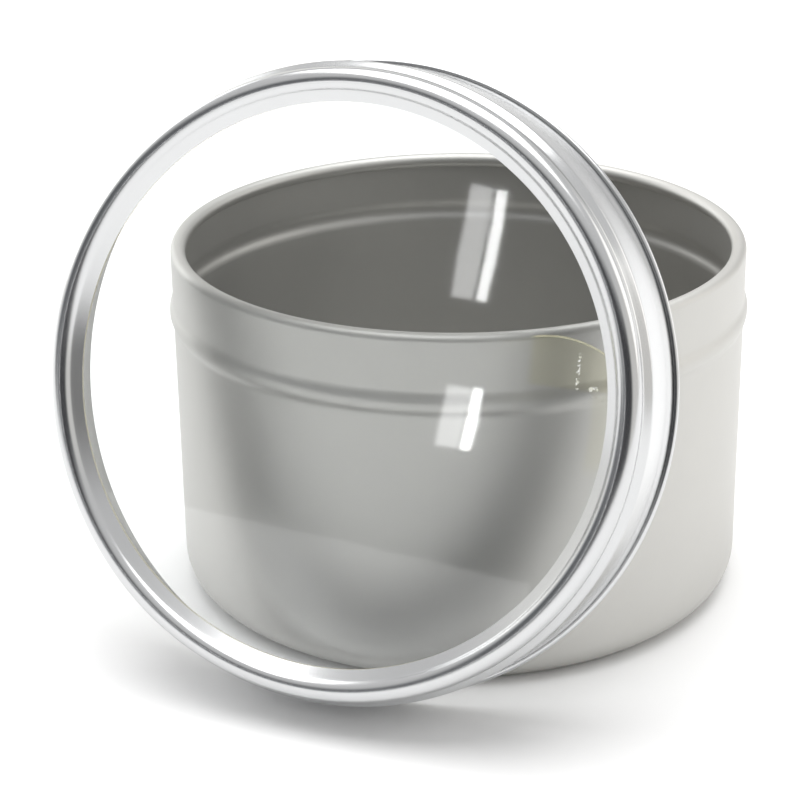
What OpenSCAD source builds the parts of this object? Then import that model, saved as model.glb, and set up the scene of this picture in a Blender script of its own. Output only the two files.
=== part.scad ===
// Round drawn candle tin with its clear-window slip lid leaning against the front of the rim.
// Millimetres, +Z up. The origin is the centre of the underside of the tin's base.
// The lid stands on the -Y side and leans back onto the rim, its outer face looking along -Y and up.

/* [Tin] */
// Outside diameter of the tin's wall
tin_d = 81; // [66:0.5:100]
// Height of the tin from its base to the top of its rolled rim
tin_h = 50.4; // [40:0.2:75]
// Thickness of the tinplate
sheet = 0.25; // [0.2:0.01:0.35]
// Outside radius of the bend between the base and the wall
base_bend_r = 4.5; // [3:0.5:7]
// Outside diameter of the inward roll along the rim
rim_roll_d = 2.1; // [1.6:0.1:3]
// Drop from the top of the rim to the middle of the bead in the wall
bead_drop = 9.5; // [8:0.5:14]
// Height of the wall that the bead takes up
bead_h = 3.2; // [2.4:0.2:5]
// How far the bead stands out from the wall
bead_out = 0.5; // [0.3:0.05:0.8]

/* [Base panel] */
// Distance in from the tin's wall to the middle of the stiffening ring pressed up into the base
base_ring_in = 11.5; // [10:0.5:20]
// Width of the stiffening ring
base_ring_w = 4; // [3:0.5:7]
// Height of the stiffening ring
base_ring_h = 0.5; // [0.3:0.05:0.8]

/* [Lid] */
// Gap all round between the tin's wall and the inside of the lid's skirt
lid_gap = 0.35; // [0.3:0.01:0.5]
// Height of the lid from its crest to the end of its skirt
lid_h = 13.4; // [12:0.1:20]
// Width of the flange, from the edge of the opening to where it meets the crest's bend
flange_w = 1.5; // [1.2:0.1:8]
// Depth of the opening's edge below the crest
flange_drop = 1.6; // [1.3:0.05:2]
// Outside radius of the rounded crest
crest_r = 1.6; // [1.4:0.05:1.8]
// How far the crest's outside stands in from the skirt's outside
shoulder_in = 0.9; // [0.5:0.05:1.1]
// Straight height between the crest's bend and the shoulder
crest_wall = 0.5; // [0.3:0.1:1.2]
// Height of the sloping shoulder
shoulder_h = 1.5; // [1:0.1:3]
// How far the end of the skirt flares out
flare_out = 0.2; // [0.1:0.05:0.4]
// Height of the skirt that the flare takes up
flare_h = 3.4; // [2:0.1:5]
// Outside diameter of the outward curl at the end of the skirt
curl_d = 0.85; // [0.75:0.05:1.2]

/* [Window] */
// Thickness of the clear window
window_t = 0.25; // [0.2:0.05:0.6]
// Gap all round between the window's edge and the inside of the crest
window_gap = 0.35; // [0.2:0.05:0.6]
// Thickness of the glue line under the edge of the flange
glue_t = 0.05; // [0.05:0.01:0.2]
// Width of the glue line
glue_w = 0.9; // [0.6:0.1:1.2]

/* [Leaning lid] */
// Angle that the lid leans back from upright
lean = 17; // [12:0.5:22]
// Sideways place of the lid's middle
lid_side = -0.5; // [-6:0.1:6]
// Gap left where the window rests on the rim
rest_gap = 0.3; // [0.25:0.01:0.4]
// Least gap kept between the lid's foot and the tin's wall
foot_gap = 0.5; // [0.3:0.1:2]

/* [Hidden] */
$fn = 180;

// A wedge long enough to cut any bend in the sheet
WEDGE = 40;

// Tin
tin_r = tin_d / 2;
roll_r = rim_roll_d / 2;
roll_x = tin_r - roll_r;
roll_z = tin_h - roll_r;
roll_turn = 290;
bead_z = tin_h - bead_drop;
base_ring_x = tin_r - base_ring_in;

// Lid, in its own frame: +Z is its axis and z = 0 the top of its crest
skirt_in = tin_r + lid_gap;
skirt_out = skirt_in + sheet;
crest_out = skirt_out - shoulder_in;
crest_x = crest_out - crest_r;
// The sloping flange meets the crest's bend this many degrees round from its top
meet = 50;
meet_x = crest_x - crest_r * sin(meet);
meet_z = -crest_r * (1 - cos(meet));
opening_r = meet_x - flange_w;
flange_rise = (meet_z + flange_drop) / flange_w;
// The sheet's thickness measured straight down through the sloping flange
flange_t = sheet * sqrt(1 + pow(flange_rise, 2));
// How far the flange runs on into the crest's bend, so that the two are one sheet
flange_lap = 0.8 * sheet;
flange_under = -flange_drop - flange_t;
shoulder_z = -crest_r - crest_wall;
skirt_z = shoulder_z - shoulder_h;
curl_r = curl_d / 2;
curl_z = -lid_h + curl_r;
curl_turn = 290;
flare_x = skirt_in + flare_out;
flare_z = curl_z + flare_h;
curl_x = flare_x + curl_r;

// Window
window_top = flange_under - glue_t;
window_r = crest_out - sheet - window_gap;
window_under = window_top - window_t;

// Place of the leaning lid: its curl stands on z = 0 and its window rests on the rim.
// A deep or steep lid stands further out, so that its foot clears the wall.
lid_z = -curl_z * sin(lean) + curl_x * cos(lean) + curl_r;
rim_reach = roll_x * cos(lean) + roll_z * sin(lean) + roll_r;
rim_y = (rim_reach - window_under + rest_gap - lid_z * sin(lean)) / cos(lean);
foot_y = tin_r + foot_gap + curl_r - curl_x * sin(lean) - curl_z * cos(lean);
lid_y = -max(rim_y, foot_y);

// A bend of the sheet round the point x, y, from angle a0 to angle a1 (less than 180 apart)
module bend(x, y, outer_r, a0, a1) {
  translate([x, y])
    intersection() {
      difference() {
        circle(outer_r);
        circle(outer_r - sheet);
      }
      polygon([
        [0, 0],
        WEDGE * [cos(a0), sin(a0)],
        2 * WEDGE * [cos((a0 + a1) / 2), sin((a0 + a1) / 2)],
        WEDGE * [cos(a1), sin(a1)],
      ]);
    }
}

// A rectangle from corner x0, y0 to corner x1, y1
module run(x0, y0, x1, y1) {
  polygon([[x0, y0], [x1, y0], [x1, y1], [x0, y1]]);
}

// A sloping run of the sheet, whose outer face goes up from x0, y0 to x1, y1
module slope(x0, y0, x1, y1) {
  polygon([[x0 - sheet, y0], [x0, y0], [x1, y1], [x1 - sheet, y1]]);
}

// A straight run of the sheet up Y, with its face on x = 0, and a round rib pressed out of it.
// The rib stands height out at y = 0 and is wide across the sheet's face.
module ribbed_run(y0, y1, height, wide) {
  r = (pow(wide / 2, 2) + pow(height, 2)) / (2 * height);
  difference() {
    union() {
      run(-sheet, y0, 0, y1);
      translate([height - r, 0])
        circle(r);
    }
    translate([height - r, 0])
      circle(r - sheet);
    run(-2 * r, -2 * r, -sheet, 2 * r);
  }
}

// Wall, bead and rolled rim of the tin, as a section
module tin_wall_section() {
  translate([tin_r, bead_z])
    ribbed_run(base_bend_r - bead_z, roll_z - bead_z, bead_out, bead_h);
  bend(roll_x, roll_z, roll_r, 0, roll_turn / 2);
  bend(roll_x, roll_z, roll_r, roll_turn / 2, roll_turn);
}

// Base of the tin with its pressed ring and the bend up to the wall, as a section
module tin_base_section() {
  translate([base_ring_x, sheet])
    rotate(90)
      ribbed_run(base_bend_r - base_ring_in, base_ring_x, base_ring_h, base_ring_w);
  bend(tin_r - base_bend_r, base_bend_r, base_bend_r, -90, 0);
}

// Drawn body of the tin, one piece of tinplate
module tin_body() {
  color("#B9B7B2")
    rotate_extrude() {
      tin_base_section();
      tin_wall_section();
    }
}

// Sloping flange from the edge of the opening up into the crest's bend, as a section
module flange_section() {
  end_x = meet_x + flange_lap;
  end_z = meet_z + flange_lap * flange_rise;
  polygon([
    [opening_r, flange_under],
    [end_x, end_z - flange_t],
    [end_x, end_z],
    [opening_r, -flange_drop],
  ]);
}

// Rounded crest of the lid, from the flange over to the crest's wall, as a section
module crest_section() {
  intersection() {
    translate([crest_x, -crest_r])
      difference() {
        circle(crest_r);
        circle(crest_r - sheet);
      }
    union() {
      run(crest_x - 2 * crest_r, meet_z - flange_lap, crest_x, crest_r);
      run(crest_x, -crest_r, crest_x + 2 * crest_r, crest_r);
    }
  }
}

// Flange, crest, shoulder, skirt, flare and curl of the lid, as a section
module lid_section() {
  flange_section();
  crest_section();
  run(crest_out - sheet, shoulder_z, crest_out, -crest_r);
  slope(skirt_out, skirt_z, crest_out, shoulder_z);
  run(skirt_in, flare_z, skirt_out, skirt_z);
  slope(flare_x + sheet, curl_z, skirt_out, flare_z);
  bend(curl_x, curl_z, curl_r, 180, 180 + curl_turn / 2);
  bend(curl_x, curl_z, curl_r, 180 + curl_turn / 2, 180 + curl_turn);
}

// Puts a piece of the lid where the leaning lid stands
module leaning() {
  translate([lid_side, lid_y, lid_z])
    rotate([90 - lean, 0, 0])
      children();
}

// Drawn frame of the lid
module lid_ring() {
  color("#C6C6C4")
    leaning()
      rotate_extrude()
        lid_section();
}

// Clear plastic window under the flange
module window() {
  color("#E8EEF0", 0.35)
    leaning()
      translate([0, 0, window_under])
        cylinder(h = window_t, r = window_r);
}

// Ring of glue that fills the wedge between the sloping flange and the window
module window_glue() {
  color("#E6DFA8", 0.6)
    leaning()
      rotate_extrude()
        polygon([
          [opening_r, window_top],
          [opening_r + glue_w, window_top],
          [opening_r + glue_w, flange_under + glue_w * flange_rise],
          [opening_r, flange_under],
        ]);
}

tin_body();
lid_ring();
window();
window_glue();
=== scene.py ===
"""Candle tin with its clear-window lid leaning on the rim.

Metres, in the CAD frame: +Z up, with the origin at the middle of the tin's underside.
"""
import math
import bpy
from mathutils import Matrix, Vector, noise


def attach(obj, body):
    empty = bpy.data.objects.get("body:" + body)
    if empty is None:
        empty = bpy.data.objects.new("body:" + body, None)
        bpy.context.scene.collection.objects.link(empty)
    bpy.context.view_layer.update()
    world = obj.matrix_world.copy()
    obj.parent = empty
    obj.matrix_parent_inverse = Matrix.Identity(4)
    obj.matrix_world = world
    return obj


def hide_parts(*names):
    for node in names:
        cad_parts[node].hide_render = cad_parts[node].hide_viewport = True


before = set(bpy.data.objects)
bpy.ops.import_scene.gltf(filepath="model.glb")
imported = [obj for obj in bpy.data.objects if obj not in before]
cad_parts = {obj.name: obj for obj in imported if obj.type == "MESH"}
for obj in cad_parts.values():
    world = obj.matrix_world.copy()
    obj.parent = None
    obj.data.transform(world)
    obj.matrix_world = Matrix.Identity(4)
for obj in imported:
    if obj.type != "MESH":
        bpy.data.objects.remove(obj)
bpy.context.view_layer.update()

MM = 0.001

# ---- Sizes, in millimetres ----
# The same as the CAD, except that the bead, the base ring and the lid's shoulder have soft bends,
# which take a little more room than the CAD's creases.
TIN_R = 40.5
TIN_H = 50.4
SHEET = 0.25
BASE_BEND_R = 4.5
RIM_R = 1.05
BEAD_Z = 40.9
BEAD_HALF = 2.1
BEAD_OUT = 0.5
BASE_RING_X = 29.0
BASE_RING_HALF = 2.5
BASE_RING_H = 0.5
SKIRT_OUT = 41.1
CREST_OUT = 40.2
CREST_R = 1.6
FLANGE_DROP = 1.6
MEET = math.radians(50)
FLANGE_W = 1.5
CREST_WALL = 0.45
SHOULDER_R1 = 0.5
SHOULDER_R2 = 0.6
SHOULDER_TURN = math.radians(38)
FLARE_OUT = 0.2
FLARE_H = 3.4
# Length of the hollow bend that eases the flange into the crest
FLANGE_EASE = 0.35
CURL_R = 0.425
LID_H = 13.4
GLUE_T = 0.05
WINDOW_T = 0.25
WINDOW_R = 39.6
# Height of the window's waves, and how many there are to the metre
WAVE_H = 0.012
WAVES = 45
ROLL_TURN = math.radians(290)
LEAN = math.radians(17)
LID_SIDE = -0.5
REST_GAP = 0.3
# Steps round the axis. The tin has the longer section, so it takes fewer.
TURNS = 384
TIN_TURNS = 344

# The flange slopes up from the opening to where it meets the crest, MEET round from the crest's top
OPENING_R = CREST_OUT - CREST_R - CREST_R * math.sin(MEET) - FLANGE_W
FLANGE_RISE = FLANGE_DROP - CREST_R * (1 - math.cos(MEET))
FLANGE_TILT = math.atan2(FLANGE_RISE, FLANGE_W)
WINDOW_TOP = -FLANGE_DROP - SHEET / math.cos(FLANGE_TILT) - GLUE_T


# ---- Profiles ----
class Path:
    """A sheet's section drawn as a turtle walks: face holds one side, back the other, one sheet away."""

    def __init__(self, x, y, heading, side, step=5.0):
        self.p = Vector((x, y))
        self.a = math.radians(heading)
        self.side = side
        self.step = math.radians(step)
        self.face = []
        self.back = []
        self.mark()

    def mark(self):
        left = Vector((-math.sin(self.a), math.cos(self.a)))
        self.face.append(self.p.copy())
        self.back.append(self.p + left * self.side * SHEET)

    def line(self, length, parts=1):
        d = Vector((math.cos(self.a), math.sin(self.a)))
        for _ in range(parts):
            self.p = self.p + d * (length / parts)
            self.mark()

    def arc(self, r, turn):
        """Turns by turn radians, to the left when positive, round a centre r away."""
        n = max(3, math.ceil(abs(turn) / self.step))
        sign = 1 if turn > 0 else -1
        for _ in range(n):
            c = self.p + Vector((-math.sin(self.a), math.cos(self.a))) * r * sign
            self.a += turn / n
            self.p = c - Vector((-math.sin(self.a), math.cos(self.a))) * r * sign
            self.mark()

    def loop(self):
        return self.face + self.back[::-1]


def rib_shape(height, half):
    """Turn and radius of the bends of a rib, whose section goes up and down in two bends each way."""
    turn = 2 * math.atan(height / half)
    return turn, half / (2 * math.sin(turn))


def tin_path():
    """The tin's sheet from the middle of its base to the end of the rim's roll."""
    p = Path(0, 0, 0, 1)
    p.line(BASE_RING_X - BASE_RING_HALF, 6)
    turn, r = rib_shape(BASE_RING_H, BASE_RING_HALF)
    p.arc(r + SHEET, turn)
    p.arc(r - SHEET, -2 * turn)
    p.arc(r + SHEET, turn)
    p.line(TIN_R - BASE_BEND_R - BASE_RING_X - BASE_RING_HALF, 1)
    p.arc(BASE_BEND_R, math.pi / 2)
    p.line(BEAD_Z - BEAD_HALF - BASE_BEND_R, 12)
    turn, r = rib_shape(BEAD_OUT, BEAD_HALF)
    p.arc(r, -turn)
    p.arc(r, 2 * turn)
    p.arc(r, -turn)
    p.line(TIN_H - RIM_R - BEAD_Z - BEAD_HALF, 3)
    p.arc(RIM_R, ROLL_TURN)
    return p


def lid_path():
    """The lid's sheet from the edge of the opening to the end of the curl. z = 0 is the crest's top."""
    p = Path(OPENING_R, -FLANGE_DROP, math.degrees(FLANGE_TILT), -1)
    turn = MEET - FLANGE_TILT
    p.line(math.hypot(FLANGE_W, FLANGE_RISE) - FLANGE_EASE, 4)
    p.arc(FLANGE_EASE / turn, turn)
    p.arc(CREST_R, -MEET - math.pi / 2)
    p.line(CREST_WALL, 2)
    bends = SHOULDER_R1 + SHOULDER_R2
    step_out = SKIRT_OUT - CREST_OUT
    straight = (step_out - bends * (1 - math.cos(SHOULDER_TURN))) / math.sin(SHOULDER_TURN)
    p.arc(SHOULDER_R1, SHOULDER_TURN)
    p.line(straight, 2)
    p.arc(SHOULDER_R2, -SHOULDER_TURN)
    shoulder_h = bends * math.sin(SHOULDER_TURN) + straight * math.cos(SHOULDER_TURN)
    shoulder_end = CREST_R + CREST_WALL + shoulder_h
    p.line(LID_H - CURL_R - FLARE_H - shoulder_end, 4)
    turn, r = rib_shape(FLARE_OUT, FLARE_H)
    p.arc(r, turn)
    p.arc(r, -turn)
    p.arc(CURL_R - SHEET, ROLL_TURN)
    return p


# ---- Mesh building ----
SHARP = math.radians(45)


def piece(name, mesh):
    """Shades the mesh smooth up to its sharp edges and puts it in the scene."""
    for poly in mesh.polygons:
        poly.use_smooth = True
    mesh.set_sharp_from_angle(angle=SHARP)
    obj = bpy.data.objects.new(name, mesh)
    bpy.context.scene.collection.objects.link(obj)
    return obj


def revolved(name, loop, turns=TURNS):
    """A closed section turned about Z. Points on the axis become one vertex each."""
    verts = []
    rings = []
    for q in loop:
        if abs(q.x) < 1e-9:
            rings.append([len(verts)] * turns)
            verts.append((0, 0, q.y * MM))
            continue
        rings.append(list(range(len(verts), len(verts) + turns)))
        for i in range(turns):
            t = 2 * math.pi * i / turns
            verts.append((q.x * MM * math.cos(t), q.x * MM * math.sin(t), q.y * MM))
    faces = []
    for k in range(len(loop)):
        a = rings[k]
        b = rings[(k + 1) % len(loop)]
        if a[0] == a[1] and b[0] == b[1]:
            continue
        for i in range(turns):
            j = (i + 1) % turns
            f = [a[i], a[j], b[j], b[i]]
            f = [v for n, v in enumerate(f) if v not in f[:n]]
            faces.append(f)
    mesh = bpy.data.meshes.new(name)
    mesh.from_pydata(verts, [], faces)
    mesh.validate()
    mesh.update()
    return piece(name, mesh)


def window_mesh(name):
    """The clear disc, with the slight waves of thin plastic."""
    rings = 96
    verts = []
    faces = []
    for side in (0, 1):
        z = (WINDOW_TOP - side * WINDOW_T) * MM
        start = len(verts)
        verts.append((0, 0, z))
        for k in range(1, rings + 1):
            r = WINDOW_R * MM * k / rings
            for i in range(TURNS):
                t = 2 * math.pi * i / TURNS
                verts.append((r * math.cos(t), r * math.sin(t), z))
        for k in range(rings):
            for i in range(TURNS):
                j = (i + 1) % TURNS
                b = start + 1 + k * TURNS
                if k == 0:
                    f = [start, b + i, b + j]
                else:
                    a = b - TURNS
                    f = [a + i, b + i, b + j, a + j]
                faces.append(f if side == 0 else f[::-1])
    top = 1 + (rings - 1) * TURNS
    low = top + 1 + rings * TURNS
    for i in range(TURNS):
        j = (i + 1) % TURNS
        faces.append([top + i, low + i, low + j, top + j])
    mesh = bpy.data.meshes.new(name)
    mesh.from_pydata(verts, [], faces)
    for v in mesh.vertices:
        r = v.co.xy.length / (WINDOW_R * MM)
        calm = max(0.0, min(1.0, (0.97 - r) / 0.2))
        n = noise.noise(Vector((v.co.x * WAVES + 3.1, v.co.y * WAVES + 7.7, 0.4)))
        v.co.z += WAVE_H * MM * calm * n
    mesh.update()
    return piece(name, mesh)


# ---- Materials ----
class Nodes:
    """A short way to add and join shader nodes."""

    def __init__(self, name):
        self.mat = bpy.data.materials.new(name)
        self.mat.use_nodes = True
        self.tree = self.mat.node_tree
        self.tree.nodes.clear()
        self.out = self.tree.nodes.new("ShaderNodeOutputMaterial")

    def add(self, kind, props=None, **inputs):
        n = self.tree.nodes.new(kind)
        for k, v in (props or {}).items():
            setattr(n, k, v)
        for k, v in inputs.items():
            self.set(n, k, v)
        return n

    def set(self, n, key, v):
        key = int(key[1:]) if key[0] == "i" and key[1:].isdigit() else key.replace("_", " ")
        if isinstance(v, bpy.types.NodeSocket):
            self.tree.links.new(v, n.inputs[key])
        else:
            n.inputs[key].default_value = v

    def math(self, op, a, b=None):
        n = self.add("ShaderNodeMath", {"operation": op})
        self.set(n, "i0", a)
        if b is not None:
            self.set(n, "i1", b)
        return n.outputs[0]

    def ramp(self, fac, stops):
        n = self.add("ShaderNodeValToRGB", Fac=fac)
        els = n.color_ramp.elements
        while len(els) < len(stops):
            els.new(0.5)
        for e, (pos, val) in zip(els, stops):
            e.position = pos
            e.color = (val, val, val, 1)
        return n.outputs["Color"]

    def scaled(self, vec, x, y, z):
        n = self.add("ShaderNodeVectorMath", {"operation": "MULTIPLY"}, i0=vec, i1=(x, y, z))
        return n.outputs[0]

    def noise(self, vec, scale, detail=4.0, rough=0.5):
        n = self.add("ShaderNodeTexNoise", Vector=vec, Scale=scale, Detail=detail, Roughness=rough)
        return n.outputs["Fac"]


def distance(nt, x, y):
    """Length of the vector x, y."""
    return nt.math("SQRT", nt.math("ADD", nt.math("MULTIPLY", x, x), nt.math("MULTIPLY", y, y)))


def polar(nt):
    """Object position, height, distance from the axis, and the direction away from it. No seam."""
    co = nt.add("ShaderNodeTexCoord").outputs["Object"]
    x, y, z = nt.add("ShaderNodeSeparateXYZ", Vector=co).outputs
    r = distance(nt, x, y)
    ux = nt.math("DIVIDE", x, r)
    uy = nt.math("DIVIDE", y, r)
    return co, z, r, ux, uy


def tinplate(name, color, rough, round_grain, cross_grain, wear):
    """Drawn tinplate: fine grain round the axis and across it, soft blotches and a few scuffs.

    The grains are bump heights, and wear scales the streaks and scuffs in the roughness.
    """
    nt = Nodes(name)
    co, z, r, ux, uy = polar(nt)
    # Direction only, so the pattern is drawn out along the radius and the height
    low = nt.math("MULTIPLY", z, 6.0)
    across = nt.add("ShaderNodeCombineXYZ", X=ux, Y=uy, Z=low).outputs[0]
    streak = nt.noise(across, 150.0, 3.0, 0.6)
    around = nt.add("ShaderNodeCombineXYZ", Z=nt.math("ADD", z, r))
    nt.set(around, "X", nt.math("MULTIPLY", ux, 0.02))
    nt.set(around, "Y", nt.math("MULTIPLY", uy, 0.02))
    rings = nt.noise(around.outputs[0], 9000.0, 2.0, 0.6)
    blotch = nt.noise(co, 60.0, 4.0, 0.55)
    cloud = nt.noise(co, 17.0, 2.0, 0.5)
    tall = nt.scaled(co, 1.0, 1.0, 0.25)
    scuff = nt.ramp(nt.noise(tall, 420.0, 6.0, 0.7), [(0.62, 0.0), (0.74, 1.0)])
    bs = nt.add("ShaderNodeBsdfPrincipled", Metallic=1.0)
    tint = nt.add("ShaderNodeMix", {"data_type": "RGBA"}, i0=blotch)
    tint.inputs[6].default_value = (*[c * 0.93 for c in color], 1)
    tint.inputs[7].default_value = (*[min(1.0, c * 1.05) for c in color], 1)
    nt.set(bs, "Base_Color", tint.outputs[2])
    ro = nt.math("ADD", nt.math("MULTIPLY", blotch, 0.08), rough - 0.05)
    ro = nt.math("ADD", ro, nt.math("MULTIPLY", cloud, 0.05))
    ro = nt.math("ADD", ro, nt.math("MULTIPLY", streak, 0.05 * wear))
    ro = nt.math("ADD", ro, nt.math("MULTIPLY", scuff, 0.06 * wear))
    nt.set(bs, "Roughness", ro)
    height = nt.math("MULTIPLY", rings, round_grain)
    height = nt.math("ADD", height, nt.math("MULTIPLY", streak, cross_grain))
    bump = nt.add("ShaderNodeBump", Strength=0.6, Distance=0.0001, Height=height)
    wave = nt.add("ShaderNodeBump", Strength=0.35, Distance=0.0012, Height=cloud, Normal=bump.outputs[0])
    nt.set(bs, "Normal", wave.outputs[0])
    nt.set(nt.out, "Surface", bs.outputs[0])
    return nt.mat


def smooth(nt, v, start, end):
    """Rises from 0 at start to 1 at end, both in millimetres, or falls when end is the smaller."""
    low, high = min(start, end), max(start, end)
    n = nt.add("ShaderNodeMapRange", {"interpolation_type": "SMOOTHSTEP"}, Value=v)
    nt.set(n, "From_Min", low * MM)
    nt.set(n, "From_Max", high * MM)
    nt.set(n, "To_Min", 0.0 if start < end else 1.0)
    nt.set(n, "To_Max", 1.0 if start < end else 0.0)
    return n.outputs[0]


def product(nt, *factors):
    """All the factors multiplied together."""
    out = factors[0]
    for f in factors[1:]:
        out = nt.math("MULTIPLY", out, f)
    return out


def film_residue(nt, co):
    """Masks of the scrap of yellowish film at the window's right, of the painted highlight along its
    upper border and of the painted glints on its crinkles.

    The sizes are in millimetres from the window's middle. The scrap's upper border is a round one.
    """
    x, y, _ = nt.add("ShaderNodeSeparateXYZ", Vector=co).outputs
    r = distance(nt, nt.math("SUBTRACT", x, 28.7 * MM), nt.math("ADD", y, 3.0 * MM))
    reach = distance(nt, x, y)
    scrap = product(nt, smooth(nt, r, 13.3, 13.1),
                    smooth(nt, x, 24.8, 26.2), smooth(nt, y, 3.6, 4.3))
    strip = product(nt, smooth(nt, reach, 33.2, 34.4), smooth(nt, x, 20.0, 30.0),
                    smooth(nt, y, -7.0, -4.0), smooth(nt, y, 4.6, 3.6))
    film = nt.math("MAXIMUM", scrap, nt.math("MULTIPLY", strip, 0.5))
    # Painted highlight: a pale band along the scrap's round upper border, where the film catches the
    # light
    painted_edge_highlight = product(nt, smooth(nt, r, 12.9, 13.1), scrap)
    crease = product(nt, smooth(nt, x, 31.3, 31.5), smooth(nt, x, 31.9, 31.7),
                     smooth(nt, y, 3.8, 4.2), smooth(nt, y, 8.6, 8.2))
    tuft = product(nt, smooth(nt, x, 32.4, 33.0), smooth(nt, x, 35.2, 34.8),
                   smooth(nt, y, 2.2, 2.8), smooth(nt, y, 4.8, 4.4))
    # Painted glints: white specks scattered over the crease and the tuft stand in for the light the
    # crinkled film catches
    glints = nt.ramp(nt.noise(co, 2400.0, 2.0, 0.6), [(0.54, 0.0), (0.62, 1.0)])
    few = nt.ramp(nt.noise(co, 1300.0, 2.0, 0.6), [(0.60, 0.0), (0.66, 1.0)])
    painted_crinkle_glints = nt.math("ADD", product(nt, crease, glints), product(nt, tuft, few))
    return film, painted_edge_highlight, painted_crinkle_glints


def clear_plastic(name):
    """Thin clear film: see-through, with a mirror sheen that grows towards grazing angles."""
    nt = Nodes(name)
    co = nt.add("ShaderNodeTexCoord").outputs["Object"]
    ripple = nt.noise(co, 70.0, 2.0, 0.5)
    fine = nt.noise(co, 900.0, 3.0, 0.6)
    bump = nt.add("ShaderNodeBump", Strength=0.02, Distance=0.0004, Height=ripple)
    film, painted_edge_highlight, painted_crinkle_glints = film_residue(nt, co)
    tint = nt.add("ShaderNodeMix", {"data_type": "RGBA"}, i0=film)
    tint.inputs[6].default_value = (0.975, 0.98, 0.98, 1)
    tint.inputs[7].default_value = (0.972, 0.968, 0.905, 1)
    clear = nt.add("ShaderNodeBsdfTransparent", Color=tint.outputs[2])
    ro = nt.math("ADD", nt.math("MULTIPLY", fine, 0.02), 0.015)
    bent = bump.outputs[0]
    sheen = nt.add("ShaderNodeBsdfAnisotropic", Color=(1, 1, 1, 1), Roughness=ro, Normal=bent)
    facing = nt.add("ShaderNodeLayerWeight", Blend=0.5, Normal=bent).outputs["Facing"]
    fac = nt.math("ADD", nt.math("MULTIPLY", nt.math("POWER", facing, 5.0), 0.9), 0.045)
    mix = nt.add("ShaderNodeMixShader", i0=fac, i1=clear.outputs[0], i2=sheen.outputs[0])
    # Painted highlight: a pale yellow surface along the scrap's upper border stands in for the light it
    # catches
    highlight_paint_bsdf = nt.add("ShaderNodeBsdfPrincipled", Base_Color=(0.75, 0.72, 0.50, 1), Roughness=0.4)
    # Painted glints: a white surface in specks on the crinkles stands in for their sparkle
    glint = nt.add("ShaderNodeBsdfPrincipled", Base_Color=(0.95, 0.95, 0.93, 1), Roughness=0.25)
    painted_edge_highlight = nt.math("MULTIPLY", painted_edge_highlight, 0.3)
    painted_crinkle_glints = nt.math("MULTIPLY", painted_crinkle_glints, 0.8)
    edged = nt.add("ShaderNodeMixShader", i0=painted_edge_highlight, i1=mix.outputs[0], i2=highlight_paint_bsdf.outputs[0])
    lit = nt.add("ShaderNodeMixShader", i0=painted_crinkle_glints, i1=edged.outputs[0], i2=glint.outputs[0])
    nt.set(nt.out, "Surface", lit.outputs[0])
    return nt.mat


def glue_mat(name):
    """Half-clear glue with small lumps."""
    nt = Nodes(name)
    co = nt.add("ShaderNodeTexCoord").outputs["Object"]
    lumps = nt.noise(co, 500.0, 4.0, 0.6)
    bs = nt.add("ShaderNodeBsdfPrincipled", Base_Color=(0.78, 0.74, 0.55, 1))
    nt.set(bs, "Roughness", nt.math("ADD", nt.math("MULTIPLY", lumps, 0.3), 0.25))
    bump = nt.add("ShaderNodeBump", Strength=0.5, Distance=0.0002, Height=lumps)
    nt.set(bs, "Normal", bump.outputs[0])
    clear = nt.add("ShaderNodeBsdfTransparent")
    mix = nt.add("ShaderNodeMixShader", i0=0.35, i1=clear.outputs[0], i2=bs.outputs[0])
    nt.set(nt.out, "Surface", mix.outputs[0])
    return nt.mat


def floor_mat(name):
    """Plain pale paper."""
    nt = Nodes(name)
    co = nt.add("ShaderNodeTexCoord").outputs["Object"]
    grain = nt.noise(co, 300.0, 4.0, 0.6)
    bs = nt.add("ShaderNodeBsdfPrincipled", Base_Color=(0.96, 0.96, 0.96, 1))
    nt.set(bs, "Roughness", nt.math("ADD", nt.math("MULTIPLY", grain, 0.1), 0.8))
    nt.set(bs, "Specular_IOR_Level", 0.1)
    nt.set(nt.out, "Surface", bs.outputs[0])
    return nt.mat


# ---- The pieces ----
tin = revolved("tin_shell", tin_path().loop(), TIN_TURNS)
tin.data.materials.append(tinplate(
    "tin_plate", (0.56, 0.555, 0.535), rough=0.48, round_grain=0.08, cross_grain=0.03, wear=1.0))
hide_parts("tin_body")
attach(tin, "tin")

# Place of the leaning lid, worked out as in the CAD: its curl on z = 0 and its window on the rim
curl_x = SKIRT_OUT - SHEET + FLARE_OUT + CURL_R
curl_z = CURL_R - LID_H
lid_z = -curl_z * math.sin(LEAN) + curl_x * math.cos(LEAN) + CURL_R
rim_reach = (TIN_R - RIM_R) * math.cos(LEAN) + (TIN_H - RIM_R) * math.sin(LEAN) + RIM_R
window_under = WINDOW_TOP - WINDOW_T
lid_y = -(rim_reach - window_under + REST_GAP - lid_z * math.sin(LEAN)) / math.cos(LEAN)
lid_turn = Matrix.Rotation(math.radians(90) - LEAN, 4, "X")
lid_place = Matrix.Translation((LID_SIDE * MM, lid_y * MM, lid_z * MM)) @ lid_turn

lid = revolved("lid_frame", lid_path().loop())
lid.data.materials.append(tinplate(
    "lid_plate", (0.61, 0.615, 0.62), rough=0.18, round_grain=0.012, cross_grain=0.004, wear=0.3))
lid.matrix_world = lid_place
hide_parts("lid_ring")
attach(lid, "lid")

pane = window_mesh("window_pane")
pane.data.materials.append(clear_plastic("pet_film"))
pane.matrix_world = lid_place
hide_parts("window")
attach(pane, "lid")

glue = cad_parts["window_glue"]
glue.data.materials.clear()
glue.data.materials.append(glue_mat("glue_line"))

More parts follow.
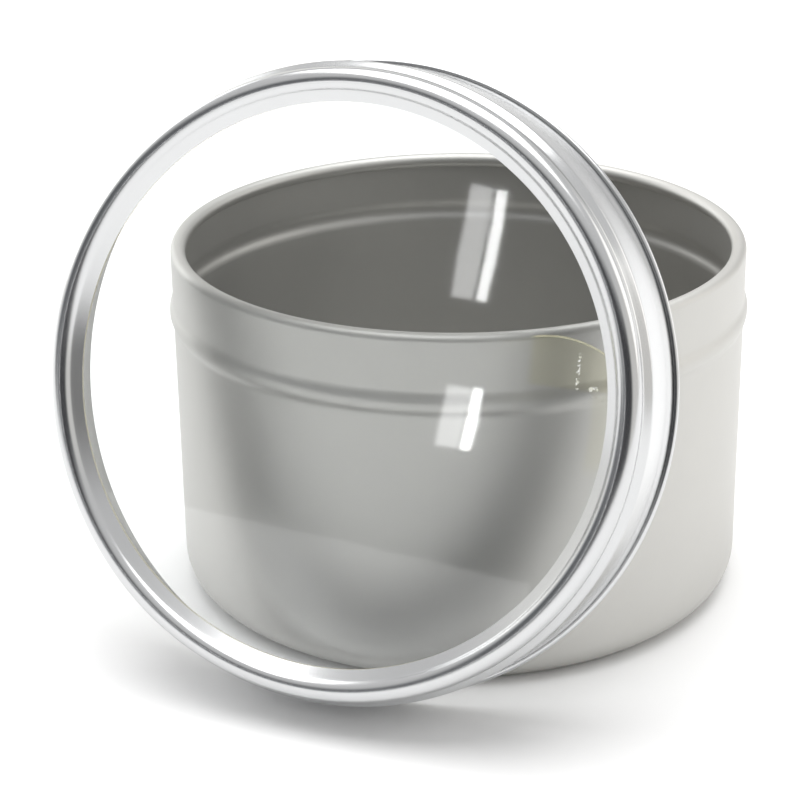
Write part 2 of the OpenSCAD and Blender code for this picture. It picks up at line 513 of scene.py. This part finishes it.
# ---- Floor ----
floor_mesh = bpy.data.meshes.new("floor")
FLOOR = 3
corners = [(-FLOOR, -FLOOR, 0), (FLOOR, -FLOOR, 0), (FLOOR, FLOOR, 0), (-FLOOR, FLOOR, 0)]
floor_mesh.from_pydata(corners, [], [(0, 1, 2, 3)])
floor_mesh.materials.append(floor_mat("paper"))
floor = bpy.data.objects.new("floor", floor_mesh)
bpy.context.scene.collection.objects.link(floor)


# ---- Light ----
def softbox(name, place, target, width, height, radiance, tone=(1, 1, 1)):
    """An area light of the given radiance, aimed at target."""
    data = bpy.data.lights.new(name, "AREA")
    data.shape = "RECTANGLE"
    data.size = width
    data.size_y = height
    data.energy = radiance * math.pi * width * height
    data.color = tone
    obj = bpy.data.objects.new(name, data)
    bpy.context.scene.collection.objects.link(obj)
    obj.location = place
    aim = Vector(target) - Vector(place)
    obj.rotation_euler = aim.to_track_quat("-Z", "Y").to_euler()


MIDDLE = (0, -0.02, 0.03)
softbox("overhead", (-0.05, 0.12, 1.3), MIDDLE, 1.4, 1.4, 2.7)
softbox("right", (1.0, 0.55, 0.42), MIDDLE, 0.8, 0.7, 1.0, (1.0, 0.985, 0.95))
softbox("left", (-1.1, 0.35, 0.45), MIDDLE, 0.8, 0.8, 1.6, (0.97, 0.985, 1.0))

# A tall lamp in front, broken by a bar, which the window mirrors as two slanted streaks,
# each a narrow bright one beside a wide pale one
LAMP_AIM = (0.018, -0.04, 0.05)
softbox("lamp_high", (-0.2375, -0.770, 0.246), LAMP_AIM, 0.005, 0.054, 11.0)
softbox("lamp_low", (-0.2375, -0.790, 0.164), LAMP_AIM, 0.005, 0.030, 17.0)
softbox("lamp_high_pale", (-0.2465, -0.766, 0.246), LAMP_AIM, 0.011, 0.054, 4.0)
softbox("lamp_low_pale", (-0.2465, -0.788, 0.164), LAMP_AIM, 0.011, 0.030, 4.0)
# A low glow in front, which the window mirrors as its paler lower part
softbox("low_front", (-0.45, -0.80, 0.052), (0, -0.04, 0.052), 0.50, 0.104, 0.9)


# The room: bright behind, at both sides and overhead, dim in front, darkest just right of front
world = bpy.data.worlds.new("room")
bpy.context.scene.world = world
world.use_nodes = True
wt = world.node_tree
wt.nodes.clear()
w_out = wt.nodes.new("ShaderNodeOutputWorld")
w_bg = wt.nodes.new("ShaderNodeBackground")
w_dir = wt.nodes.new("ShaderNodeTexCoord")
w_sep = wt.nodes.new("ShaderNodeSeparateXYZ")
wt.links.new(w_dir.outputs["Generated"], w_sep.inputs[0])


def w_math(op, a, b):
    n = wt.nodes.new("ShaderNodeMath")
    n.operation = op
    for i, v in enumerate((a, b)):
        if isinstance(v, bpy.types.NodeSocket):
            wt.links.new(v, n.inputs[i])
        else:
            n.inputs[i].default_value = v
    return n.outputs[0]


def w_ramp(fac, stops):
    n = wt.nodes.new("ShaderNodeValToRGB")
    els = n.color_ramp.elements
    while len(els) < len(stops):
        els.new(0.5)
    for el, (pos, tone) in zip(els, stops):
        el.position = pos
        el.color = tone
    wt.links.new(fac, n.inputs["Fac"])
    return n.outputs["Color"]


# Turn from straight in front (0.5) round to the left (0.25), to the right (0.75) and behind (0 and 1)
w_turn = w_math("ARCTAN2", w_sep.outputs["X"], w_math("MULTIPLY", w_sep.outputs["Y"], -1.0))
w_turn = w_math("ADD", w_math("DIVIDE", w_turn, 2 * math.pi), 0.5)
w_round = w_ramp(w_turn, [
    (0.00, (0.75, 0.75, 0.75, 1)),
    (0.10, (1.10, 1.09, 1.05, 1)),
    (0.27, (1.15, 1.14, 1.10, 1)),
    (0.315, (0.50, 0.51, 0.53, 1)),
    (0.35, (0.10, 0.105, 0.11, 1)),
    (0.43, (0.16, 0.165, 0.175, 1)),
    (0.48, (0.05, 0.05, 0.055, 1)),
    (0.60, (0.05, 0.05, 0.055, 1)),
    (0.65, (0.85, 0.84, 0.81, 1)),
    (0.79, (0.85, 0.83, 0.80, 1)),
    (1.00, (0.75, 0.75, 0.75, 1)),
])
w_up = w_ramp(w_sep.outputs["Z"], [(0.38, (0, 0, 0, 1)), (0.62, (1, 1, 1, 1))])
w_mix = wt.nodes.new("ShaderNodeMix")
w_mix.data_type = "RGBA"
wt.links.new(w_up, w_mix.inputs[0])
wt.links.new(w_round, w_mix.inputs[6])
w_mix.inputs[7].default_value = (0.75, 0.75, 0.75, 1)
wt.links.new(w_mix.outputs[2], w_bg.inputs["Color"])
wt.links.new(w_bg.outputs[0], w_out.inputs["Surface"])

# ---- Camera ----
# Fitted to the photograph: yaw turns it from +Y towards +X, pitch tips it down, roll turns it over
CAM_AT = (0.10593, -0.28004, 0.1506)
CAM_YAW = -0.38993
CAM_PITCH = 0.3976
CAM_ROLL = -0.0145
cam_data = bpy.data.cameras.new("camera")
cam_data.sensor_width = 36
cam_data.lens = 100.2
cam_data.clip_start = 0.01
camera = bpy.data.objects.new("camera", cam_data)
bpy.context.scene.collection.objects.link(camera)
level = math.cos(CAM_PITCH)
ahead = Vector((math.sin(CAM_YAW) * level, math.cos(CAM_YAW) * level, -math.sin(CAM_PITCH)))
right = Vector((math.cos(CAM_YAW), -math.sin(CAM_YAW), 0))
up = right.cross(ahead)
x_axis = right * math.cos(CAM_ROLL) + up * math.sin(CAM_ROLL)
y_axis = up * math.cos(CAM_ROLL) - right * math.sin(CAM_ROLL)
turn = Matrix((x_axis, y_axis, -ahead)).transposed().to_4x4()
camera.matrix_world = Matrix.Translation(CAM_AT) @ turn
bpy.context.scene.camera = camera
bpy.context.scene.view_settings.view_transform = "Standard"
